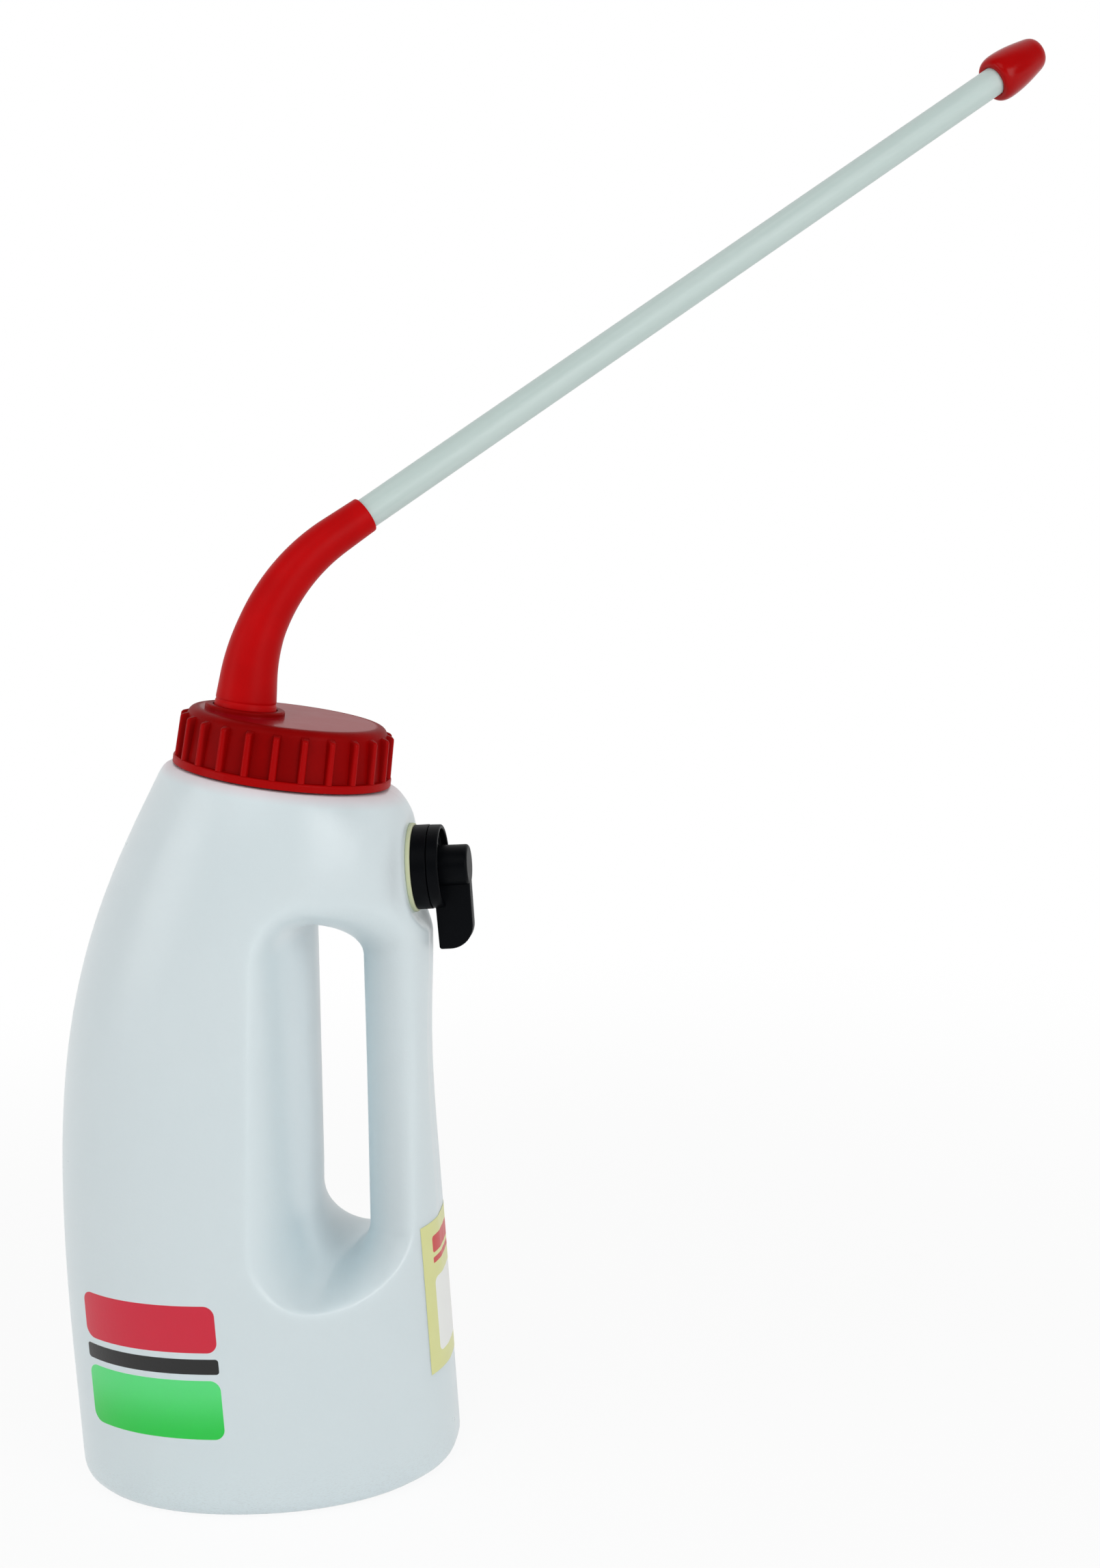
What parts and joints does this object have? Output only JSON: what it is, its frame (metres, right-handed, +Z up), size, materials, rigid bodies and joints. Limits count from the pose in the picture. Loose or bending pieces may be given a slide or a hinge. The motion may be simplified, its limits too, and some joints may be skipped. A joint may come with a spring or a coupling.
{
  "type": "livestock drencher bottle",
  "caption": "Blow-moulded dosing bottle with a through handle, ribbed screw cap, rubber elbow, long probe tube with a bulb tip and a rotary air valve on its back.",
  "frame": {"origin": "middle of the base on the floor, in the bottle's symmetry plane", "axes": "+Z up, +X towards the handle and the air valve, Y across the bottle; the tube is turned 30 degrees from +X towards +Y"},
  "size_m": [0.506, 0.2471, 0.6658],
  "materials": {
    "bottle_shell": "satin",
    "red_cap": "gloss",
    "red_rubber": "satin",
    "tube_plastic": "satin",
    "cream_seal": "matte",
    "black_plastic": "satin",
    "black_rubber": "matte",
    "steel": "brushed"
  },
  "bodies": {
    "bottle_body": {"bottle": "bottle_shell", "valve_body": "black_plastic", "valve_gasket": "cream_seal", "valve_washer": "black_plastic", "valve_nut": "black_plastic", "port_seal": "black_rubber", "stem_oring": "black_rubber"},
    "cap_seal": {"cap_gasket": "cream_seal"},
    "cap": {"screw_cap": "red_cap", "elbow": "red_rubber"},
    "probe": {"probe_tube": "tube_plastic", "bulb_tip": "red_rubber"},
    "lever": {"selector_lever": "black_plastic", "lever_screw": "steel", "spring_washer": "steel", "thrust_spring": "steel"}
  },
  "joints": [
    {"name": "cap_lift", "type": "slide", "parent": "bottle_body", "child": "cap_seal", "axis": [0.2045, 0, 0.9789], "range_m": [0, 0.0091]},
    {"name": "cap_turn", "type": "hinge", "parent": "cap_seal", "child": "cap", "pos_m": [0.03202, 0, 0.333], "axis": [0.2045, 0, 0.9789], "range_deg": [0, 540]},
    {"name": "elbow_bend", "type": "hinge", "parent": "cap", "child": "probe", "pos_m": [0.03753, -0.00632, 0.41286], "axis": [-0.4894, 0.866, 0.1022], "range_deg": [-30, 70], "stiffness_Nm_per_rad": 1.5, "springref_deg": -4.01, "deforming": ["elbow"]},
    {"name": "lever_turn", "type": "hinge", "parent": "bottle_body", "child": "lever", "pos_m": [0.0983, 0, 0.2855], "axis": [-1, 0, 0], "range_deg": [0, 180]}
  ],
  "couplings": [
    {"joint": "cap_lift", "follows": "cap_turn", "m_per_rad": 0.00095493}
  ]
}
